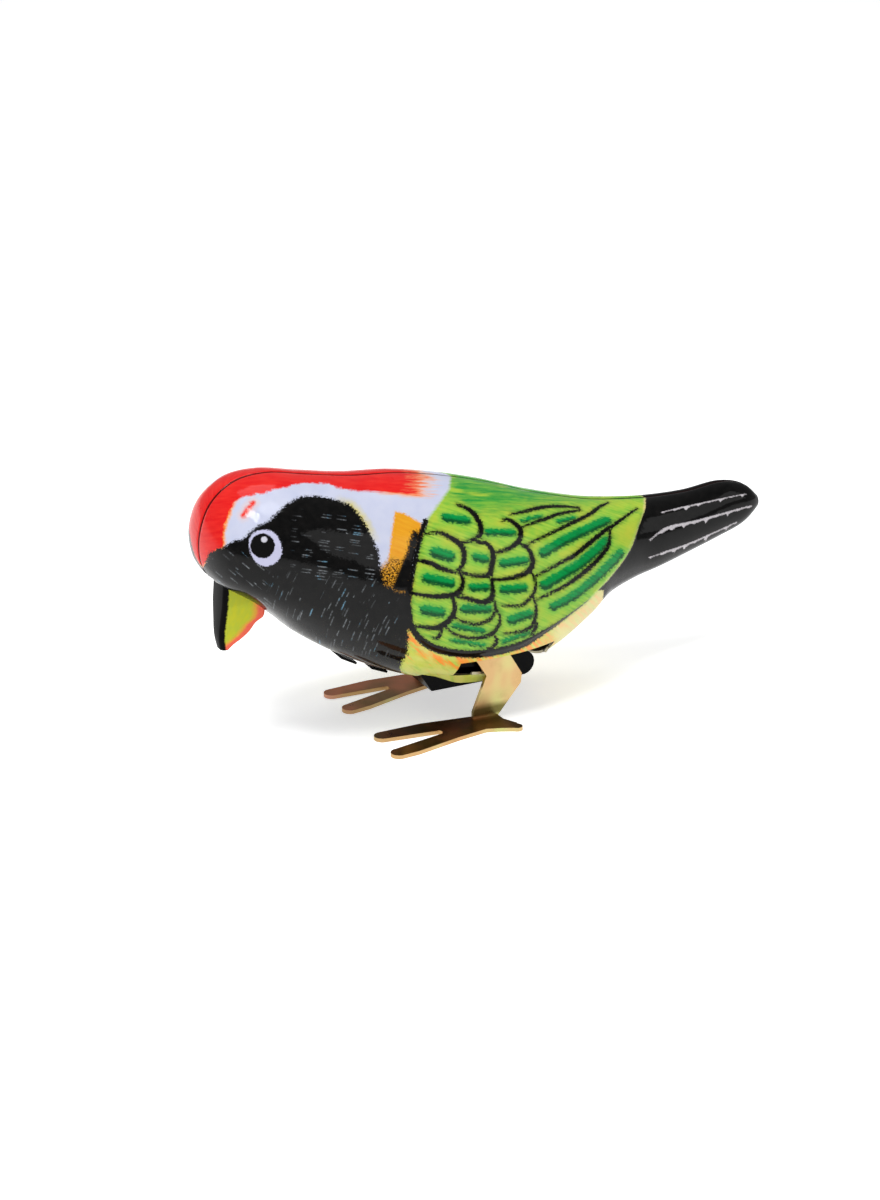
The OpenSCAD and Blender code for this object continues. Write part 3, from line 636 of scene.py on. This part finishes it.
    def ticks(turn, seed, low_q, high_q, low_p, high_p):
        """Short pale feather strokes that lie one way, over part of the black."""
        cells = s.stretch(pq, (0.42, 2.3, 1), turn)
        node = s.node("ShaderNodeTexVoronoi", Vector=cells, Scale=1.0, Randomness=0.8)
        node.distance = "CHEBYCHEV"
        chosen = s.nodes.new("ShaderNodeSeparateColor")
        s.link(node.outputs["Color"], chosen.inputs[0])
        local = s.nodes.new("ShaderNodeVectorMath")
        local.operation = "SUBTRACT"
        s.link(cells, local.inputs[0])
        s.link(node.outputs["Position"], local.inputs[1])
        lengthways, across = s.axes(local.outputs[0])[:2]
        thin = s.ramp(s.math("ABSOLUTE", across), 0.30, 0.16)
        short = s.ramp(s.math("ABSOLUTE", lengthways), 0.36, 0.26)
        shown = s.ramp(chosen.outputs[seed], 0.66, 0.70)
        zone = s.times(s.band(q_at, low_q, high_q, TICK_FADE), s.band(p_at, low_p, high_p, TICK_FADE))
        worn = s.ramp(s.noise(pq, 3.0, 2), 0.4, 0.6, 0.35, 1.0)
        return s.times(thin, short, shown, zone, worn)

    on_black = s.ramp(s.attribute("cheek"), -0.7, -1.2)
    marks = s.math("MAXIMUM", ticks(4, 0, 17, 29, -21, -6), ticks(38, 1, 12, 22.5, -35, -24))
    marks = s.math("MAXIMUM", marks, ticks(-62, 2, 6, 19, -25, -4))
    marks = s.math("MULTIPLY", marks, on_black)
    tick_tint = s.mix(s.ramp(s.noise(pq, 0.5, 2), 0.56, 0.64), ink(118, 122, 126), ink(122, 172, 200))
    strength = s.ramp(s.noise(pq, 0.33, 2), 0.38, 0.62, 0.2, 0.8)
    colour = s.mix(s.math("MULTIPLY", marks, strength), colour, tick_tint)

    shaft_tint = s.mix(s.ramp(rough, 0.4, 0.7), ink(178, 172, 176), ink(204, 200, 204))
    colour = s.mix(cover("shafts", 0.3, 0.08), colour, shaft_tint)

    colour = s.mix(cover("eye", 0.55, 0.07), colour, ink(188, 188, 214))
    colour = s.mix(cover("pupil", 0.35, 0.07), colour, ink(10, 10, 10))
    colour = s.mix(cover("glint", 0.08, 0.08), colour, ink(196, 196, 206))
    # Painted shade in the seam's groove, over the raw tin edge that shows there: a dark red-brown line along
    # the seam
    seam = s.ramp(s.math("ADD", s.attribute("seam"), s.math("MULTIPLY", rough, 0.16)), 0.42, 0.3)
    colour = s.mix(s.math("MULTIPLY", seam, 0.85), colour, ink(30, 12, 12))
    grime = s.ramp(s.noise(pq, 0.35, 5, 0.7), 0.3, 0.8, 1.0, 0.93)
    shade = s.nodes.new("ShaderNodeVectorMath")
    shade.operation = "SCALE"
    s.link(colour, shade.inputs[0])
    s.link(grime, shade.inputs["Scale"])

    peel = s.bump(s.noise(pq, 0.8, 2), 0.00006, 0.5)
    peel = s.bump(s.noise(pq, 6.0, 2), 0.00001, 0.3, peel)
    return s.finish(Base_Color=shade.outputs[0], Roughness=s.ramp(s.noise(pq, 0.6, 4), 0.3, 0.8, 0.26, 0.4),
                    IOR=1.06, Coat_Weight=0.45, Coat_IOR=1.4, Coat_Roughness=0.045, Normal=peel,
                    Coat_Normal=peel)


def bare_tin(name, tint, metallic=1.0, low=0.28, high=0.45):
    """Tin plate or steel with fine rolling marks and dull patches."""
    s = Shader(name)
    at = s.position()
    grain = s.noise(s.stretch(at, (90, 900, 900)), 6, 4, 0.7)
    patch = s.noise(at, 260, 4, 0.6)
    dull = tuple(value * 0.72 for value in tint)
    colour = s.mix(s.ramp(patch, 0.3, 0.75), tint, dull)
    return s.finish(Base_Color=colour, Metallic=metallic, Roughness=s.ramp(patch, 0.25, 0.8, low, high),
                    Normal=s.bump(grain, 0.00001, 0.4))


def passivated_steel():
    """Zinc-plated strip, passivated yellow: gold that drifts to pink and green, with painted reflection on
    the foot tops and painted shade in the bend above them.
    """
    s = Shader("passivated_steel")
    at = s.position()
    drift = s.noise(s.stretch(at, (1.0, 1.0, 0.7)), 85, 3, 0.5)
    fine = s.noise(at, 300, 4, 0.6)
    gold = s.mix(s.ramp(drift, 0.38, 0.52), ink(196, 164, 118), ink(188, 152, 104))
    colour = s.mix(s.ramp(drift, 0.54, 0.66), gold, ink(200, 144, 120))
    colour = s.mix(s.ramp(drift, 0.44, 0.34), colour, ink(188, 184, 120))
    colour = s.mix(s.ramp(fine, 0.55, 0.85, 0.0, 0.35), colour, ink(140, 104, 60))
    # Painted reflection: low faces that look upward (the foot tops) turn a darker brown, standing in for the
    # dark belly mirrored in them
    height = s.axes(at)[2]
    upward = s.axes(s.nodes.new("ShaderNodeNewGeometry").outputs["Normal"])[2]
    low = s.ramp(s.math("MULTIPLY_ADD", drift, 0.001, height), 0.0036, 0.0026)
    top = s.times(low, s.ramp(upward, 0.5, 0.9))
    foot = s.mix(s.ramp(drift, 0.42, 0.6), ink(138, 102, 56), ink(196, 122, 84))
    colour = s.mix(top, colour, foot)
    # Painted shade: the strip just above the foot, in its bend, is darkened to olive
    ankle_painted_shade = s.times(low, s.ramp(height, 0.0008, 0.0012), 0.85)
    colour = s.mix(ankle_painted_shade, colour, ink(92, 84, 42))
    rolled = s.noise(s.stretch(at, (120, 900, 900)), 5, 3, 0.6)
    return s.finish(Base_Color=colour, Metallic=1.0, Roughness=s.ramp(fine, 0.3, 0.75, 0.27, 0.42),
                    Normal=s.bump(rolled, 0.000012, 0.45))


def black_lacquer():
    s = Shader("black_lacquer")
    at = s.position()
    wear = s.noise(at, 900, 4, 0.7)
    colour = s.mix(s.ramp(wear, 0.70, 0.78), ink(9, 9, 10), ink(78, 74, 72))
    return s.finish(Base_Color=colour, Roughness=s.ramp(wear, 0.3, 0.8, 0.2, 0.36), IOR=1.06,
                    Coat_Weight=0.1, Coat_IOR=1.4, Coat_Roughness=0.1,
                    Normal=s.bump(s.noise(at, 1500, 3), 0.00002, 0.4))


def beak_paint():
    s = Shader("beak_paint")
    at = s.attribute("print", "Vector")
    rough = s.noise(at, 2.4, 4, 0.7)
    wash = s.noise(s.stretch(at, (0.6, 0.25, 1), 20), 1.6, 4, 0.6)
    colour = s.mix(s.ramp(wash, 0.35, 0.7), ink(196, 196, 50), ink(176, 190, 62))

    def edge(name, amount):
        return s.math("ADD", s.attribute(name), s.math("MULTIPLY_ADD", rough, 2 * amount, -amount))

    colour = s.mix(s.ramp(edge("rear", 0.5), 1.9, 0.9), colour, ink(240, 150, 70))
    colour = s.mix(s.ramp(edge("rear", 0.45), 1.25, 0.7), colour, ink(238, 106, 84))
    colour = s.mix(s.ramp(edge("front", 0.18), 0.08, -0.08), colour, ink(4, 4, 4))
    return s.finish(Base_Color=colour, Roughness=0.3, IOR=1.05, Coat_Weight=0.12, Coat_IOR=1.35,
                    Coat_Roughness=0.07, Normal=s.bump(s.noise(at, 0.9, 2), 0.00005, 0.35))


PRINTED = printed_tin()
INSIDE = bare_tin("bare_tin", ink(178, 172, 150), low=0.35, high=0.55)
RAW_EDGE = bare_tin("raw_edge", ink(198, 190, 160), low=0.3, high=0.5)
STRIP = passivated_steel()
LACQUER = black_lacquer()
BEAK = beak_paint()
NICKEL = bare_tin("nickel", ink(206, 204, 198), low=0.16, high=0.3)
STEEL = bare_tin("turned_steel", ink(176, 176, 178), low=0.25, high=0.42)
BLUED = bare_tin("blued_spring", ink(76, 84, 112), low=0.24, high=0.4)
BRASS = bare_tin("stamped_brass", ink(214, 176, 92), low=0.24, high=0.42)


# ---------------------------------------------------------------- meshes
def new_piece(name, mesh, body, replaced, materials):
    piece = bpy.data.objects.new(name, mesh)
    bpy.context.scene.collection.objects.link(piece)
    for material in materials:
        mesh.materials.append(material)
    if body:
        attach(piece, body)
    if replaced:
        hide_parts(*replaced)
    return piece


def set_floats(mesh, name, values):
    layer = mesh.attributes.new(name, "FLOAT", "POINT")
    layer.data.foreach_set("value", np.asarray(values, np.float32))


def set_vectors(mesh, name, values):
    layer = mesh.attributes.new(name, "FLOAT_VECTOR", "POINT")
    layer.data.foreach_set("vector", np.asarray(values, np.float32).ravel())


def smoothstep(x, low, high):
    t = np.clip((x - low) / (high - low), 0, 1)
    return t * t * (3 - 2 * t)


ALONG = 320
SEAM_ROWS = [0, 0.35, 0.75, 1.2, 1.8, 2.6]
ROUND = 112
WING_RAISE = 0.32
WING_REAR_RAISE = 0.3
SEAM_ROUNDING = 0.45
SEAM_ROUND_WIDTH = 0.75
SEAM_GAP = 0.07
BELLY_X = (-6.8, 17.1)
BELLY_HALF_W = 9.5
SLOT_X = -1.7
SLOT_IN_Y = 10.4
SLOT_TOP_Z = 12.4
BAND_X = 9.0
BAND_DROP = 1.3
BAND_LIFT = 0.2
BEAK_NOTCH = ((-44.0, -31.1), 2.45, 30.2)
ARBOR = (5.0, 22.5)
EYELET_HOLE_R = 2.85


def skin_grid():
    """u and angle of every vertex, with rows close together at the seams."""
    fine = np.linspace(0, LAST, 2001)
    reach = np.zeros(len(fine))
    for angle in (0, 90, 180):
        line = skin(fine, np.full(len(fine), angle))
        reach[1:] = np.maximum(reach[1:], np.linalg.norm(np.diff(line, axis=0), axis=1))
    travelled = np.cumsum(reach)
    u = np.interp(np.linspace(0, travelled[-1], ALONG), travelled, fine)
    middle = np.linspace(SEAM_ROWS[-1], 180 - SEAM_ROWS[-1], ROUND)
    angle = np.concatenate([SEAM_ROWS[:-1], middle, 180 - np.array(SEAM_ROWS[:-1])[::-1]])
    return u, angle


def in_cuts(p):
    """Whether a point of a half is where the belly or the beak leaves it open."""
    x, y, z = p[:, 0], np.abs(p[:, 1]), p[:, 2]
    low = z < SLOT_TOP_Z
    belly = low & (x > BELLY_X[0]) & (x < BELLY_X[1]) & (y < BELLY_HALF_W)
    leg_slot = low & (x > SLOT_X) & (x < BELLY_X[1]) & (y > SLOT_IN_Y)
    behind_band = low & (x > BAND_X) & (x < BELLY_X[1]) & (y > BELLY_HALF_W - 0.1)
    (x0, x1), half, top = BEAK_NOTCH
    beak = (x > x0) & (x < x1) & (y < half) & (z < top)
    return belly | leg_slot | behind_band | beak


CUT_PLANES = [
    ((1, 0, 0), BELLY_X[0]), ((1, 0, 0), SLOT_X), ((1, 0, 0), BAND_X), ((1, 0, 0), BELLY_X[1]),
    ((0, 1, 0), BELLY_HALF_W), ((0, 1, 0), BELLY_HALF_W - 0.1),
    ((0, 1, 0), SLOT_IN_Y), ((0, 0, 1), SLOT_TOP_Z),
]
BEAK_PLANES = [((1, 0, 0), BEAK_NOTCH[0][1]), ((0, 1, 0), BEAK_NOTCH[1]), ((0, 0, 1), BEAK_NOTCH[2])]


def cut_near(bm, planes, near):
    """Splits the faces near the openings along the openings' planes."""
    for normal, offset in planes:
        faces = [f for f in bm.faces if near(f.calc_center_median())]
        geometry = set(faces)
        for f in faces:
            geometry.update(f.edges)
            geometry.update(f.verts)
        bmesh.ops.bisect_plane(bm, geom=list(geometry), dist=1e-5, plane_co=Vector(normal) * offset,
                               plane_no=Vector(normal))


def make_half(side, name, node):
    """One pressed half, side -1 for the left: print on its outside, bare tin inside."""
    u_line, a_line = skin_grid()
    u, a = (grid.ravel() for grid in np.meshgrid(u_line, a_line, indexing="ij"))
    flat = skin(u, a)
    normals = skin_normals(u, np.clip(a, 0.5, 179.5))
    layers, pq = print_layers(flat)
    raised = WING_RAISE + WING_REAR_RAISE * smoothstep(pq[:, 0], 8, 26)
    lift = raised * smoothstep(-layers["wing"], -0.15, 0.75) * smoothstep(a, 25, 50)
    near_seam = 1 - np.clip(flat[:, 1] / SEAM_ROUND_WIDTH, 0, 1)
    lift -= SEAM_ROUNDING * (1 - np.sqrt(1 - near_seam ** 2)) * np.clip(flat[:, 1].max() / 3, 0, 1)
    points = flat + normals * lift[:, None]
    points[:, 1] = np.maximum(points[:, 1], SEAM_GAP)
    on_band = smoothstep(flat[:, 0], -5, 0.5) * (flat[:, 0] < BELLY_X[1]) * (flat[:, 2] < SLOT_TOP_Z)
    on_band = on_band * (flat[:, 1] > BELLY_HALF_W - 0.6)
    on_band = on_band * smoothstep(SLOT_IN_Y + 0.3 - flat[:, 1], 0, 0.05)
    inward = np.clip((SLOT_IN_Y - flat[:, 1]) / (SLOT_IN_Y - BELLY_HALF_W), 0, 1)
    points[:, 2] -= on_band * (BAND_DROP * inward - BAND_LIFT)
    n_u, n_a = len(u_line), len(a_line)
    ids = np.arange(n_u * n_a).reshape(n_u, n_a)
    quads = np.stack([ids[:-1, :-1], ids[1:, :-1], ids[1:, 1:], ids[:-1, 1:]], -1).reshape(-1, 4)

    mesh = bpy.data.meshes.new(name)
    mesh.from_pydata(points.tolist(), [], quads.tolist())
    for key, values in layers.items():
        if key != "wing":
            set_floats(mesh, key, values)
    set_vectors(mesh, "print", np.column_stack([pq, np.zeros(len(pq))]))
    set_floats(mesh, "seam", flat[:, 1])
    set_floats(mesh, "wall", np.clip(skin(u, np.full(len(u), 90.0))[:, 1] / 3, 0, 1))
    bm = bmesh.new()
    bm.from_mesh(mesh)
    cut_near(bm, CUT_PLANES, lambda c: -8 < c.x < 18 and c.z < 14)
    cut_near(bm, BEAK_PLANES, lambda c: c.x < -30 and c.z < 31 and c.y < 5)
    centres = np.array([f.calc_center_median() for f in bm.faces])
    gone = in_cuts(centres)
    if side > 0:
        from_arbor = np.hypot(centres[:, 0] - ARBOR[0], centres[:, 2] - ARBOR[1])
        gone |= (from_arbor < EYELET_HOLE_R) & (centres[:, 1] > 8)
    bm.faces.ensure_lookup_table()
    bmesh.ops.delete(bm, geom=[bm.faces[i] for i in np.nonzero(gone)[0]], context="FACES")
    bm.normal_update()
    wall = bm.verts.layers.float["wall"]
    outer = list(bm.verts)
    border = [(e, e.link_faces[0]) for e in bm.edges if len(e.link_faces) == 1]
    skin_faces = list(bm.faces)
    inner = {}
    for v in outer:
        twin = bm.verts.new(v.co - v.normal * TIN * v[wall], v)
        twin.co.y = max(twin.co.y, SEAM_GAP)
        inner[v] = twin
    for f in skin_faces:
        f.smooth = True
        back = bm.faces.new([inner[v] for v in reversed(f.verts)])
        back.material_index = 1
        back.smooth = True
    for edge, face in border:
        first = next(loop for loop in face.loops if loop.edge == edge)
        a_vert, b_vert = first.vert, first.link_loop_next.vert
        rim = bm.faces.new([b_vert, a_vert, inner[a_vert], inner[b_vert]])
        rim.material_index = 2
        for e in rim.edges:
            e.smooth = False
    for v in bm.verts:
        v.co = Vector(to_row((v.co.x, v.co.y * side, v.co.z)))
    if side < 0:
        bmesh.ops.reverse_faces(bm, faces=list(bm.faces))
    bm.to_mesh(mesh)
    bm.free()
    return new_piece(name, mesh, "frame", [node], [PRINTED, INSIDE, RAW_EDGE])


make_half(-1, "left_half", "left_shell")
make_half(1, "right_half", "right_shell")


# ---------------------------------------------------------------- the folded beak
BEAK_W = 4.6
BEAK_TIP = (-38.9, 16.8)
BEAK_REAR = [(-38.2, 17.0), (-37.2, 17.9), (-36.2, 18.5), (-34.7, 19.7), (-33.5, 21.3),
             (-32.2, 22.2), (-32.0, 24), (-32.0, 29.6)]
BEAK_FRONT = [(-38.9, 16.85), (-39.25, 19.3), (-39.05, 22.8), (-38.5, 29.6)]


def make_beak():
    rows, corner_steps, side_steps = 44, 6, 16
    z_line = np.concatenate([np.linspace(16.95, 18.2, 12), np.linspace(18.4, 29.6, rows - 12)])
    front = curve_through(BEAK_FRONT, steps=12)
    rear = curve_through(BEAK_REAR, steps=12)
    x_front = np.interp(z_line, front[:, 1], front[:, 0])
    order = np.maximum.accumulate(rear[:, 1])
    x_rear = np.interp(z_line, order + np.arange(len(order)) * 1e-6, rear[:, 0])
    half = np.interp(z_line, [BEAK_TIP[1] - 0.5, 25], [0.35 * BEAK_W / 2, BEAK_W / 2])
    points, to_front, to_rear = [], [], []
    for z, x0, x1, w in zip(z_line, x_front, x_rear, half):
        r = min(0.45, w * 0.55)
        side = [(x, -w) for x in np.linspace(x1, x0 + r, side_steps)]
        arc = [(x0 + r - r * math.sin(t), -w + r - r * math.cos(t))
               for t in np.linspace(0, math.pi / 2, corner_steps + 1)[1:]]
        row = side + arc
        row += [(x, -y) for x, y in reversed(row)]
        for x, y in row:
            points.append((x, y, z))
            to_front.append((x - x0) - 0.42)
            to_rear.append(abs(x1 - x) * 0.75)
    width = 2 * (side_steps + corner_steps)
    ids = np.arange(len(z_line) * width).reshape(len(z_line), width)
    quads = np.stack([ids[:-1, :-1], ids[:-1, 1:], ids[1:, 1:], ids[1:, :-1]], -1).reshape(-1, 4)
    mesh = bpy.data.meshes.new("beak_tin")
    mesh.from_pydata(to_row(points).tolist(), [], quads.tolist())
    set_floats(mesh, "front", to_front)
    set_floats(mesh, "rear", to_rear)
    set_vectors(mesh, "print", np.array(points)[:, [0, 2, 1]])
    for polygon in mesh.polygons:
        polygon.use_smooth = True
    piece = new_piece("folded_beak", mesh, "frame", ["beak"], [BEAK, RAW_EDGE])
    solid = piece.modifiers.new("tin", "SOLIDIFY")
    solid.thickness = TIN * MM
    solid.offset = -1
    solid.use_rim = True
    solid.material_offset_rim = 0
    return piece


make_beak()


# ---------------------------------------------------------------- CAD nodes with their own materials
def bevelled_copy(name, node, body, material, width, segments=2):
    """The node's own shape with worn, rounded edges."""
    mesh = frame["nodes"][node].data.copy()
    mesh.materials.clear()
    if "custom_normal" in mesh.attributes:
        mesh.attributes.remove(mesh.attributes["custom_normal"])
    bm = bmesh.new()
    bm.from_mesh(mesh)
    bmesh.ops.remove_doubles(bm, verts=bm.verts, dist=1e-6)
    bmesh.ops.dissolve_limit(bm, angle_limit=math.radians(1), verts=bm.verts, edges=bm.edges)
    for f in bm.faces:
        f.smooth = True
    bm.to_mesh(mesh)
    bm.free()
    piece = new_piece(name, mesh, body, [node], [material])
    bevel = piece.modifiers.new("worn_edges", "BEVEL")
    bevel.width = width * MM
    bevel.segments = segments
    bevel.limit_method = "ANGLE"
    bevel.angle_limit = math.radians(35)
    bevel.harden_normals = True
    return piece


bevelled_copy("left_strip_leg", "left_leg", "left_leg", STRIP, 0.12)
bevelled_copy("right_strip_leg", "right_leg", "right_leg", STRIP, 0.12)
bevelled_copy("butterfly_key", "wind_key", "key", NICKEL, 0.25, 3)
bevelled_copy("bent_tabs", "seam_tabs", "frame", LACQUER, 0.1)

# Where the click spring starts and stops bending, from the arbor
SPRING_BEND = (-3.4, 0.3)


def make_click_spring():
    """The leaf that presses on the click: its foot stays on the wheel and its tip lifts with the click."""
    mesh = frame["nodes"]["click_spring"].data.copy()
    mesh.materials.clear()
    bm = bmesh.new()
    bm.from_mesh(mesh)
    bmesh.ops.remove_doubles(bm, verts=bm.verts, dist=1e-6)
    for x in np.linspace(SPRING_BEND[0], SPRING_BEND[1], 9):
        geometry = list(bm.verts) + list(bm.edges) + list(bm.faces)
        plane = Vector(to_row((ARBOR[0] + x, 0, 0)))
        bmesh.ops.bisect_plane(bm, geom=geometry, dist=1e-7, plane_co=plane, plane_no=(1, 0, 0))
    bm.to_mesh(mesh)
    bm.free()
    piece = new_piece("bending_click_spring", mesh, None, ["click_spring"], [BLUED])
    start, end = (to_row((ARBOR[0] + x, 0, ARBOR[1])) for x in SPRING_BEND)
    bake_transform(piece, "great_wheel", "click", start=tuple(start), end=tuple(end))


make_click_spring()

# The finish of each material slot whose CAD nodes still show
FINISHES = {"black_paint": LACQUER, "steel": STEEL, "spring_steel": BLUED, "brass": BRASS}
for part in frame["record"]["subparts"]:
    node = frame["nodes"][part["node"]]
    if node.hide_render:
        continue
    node.data.materials.clear()
    node.data.materials.append(FINISHES[part["material_slot"]])

bpy.context.view_layer.update()
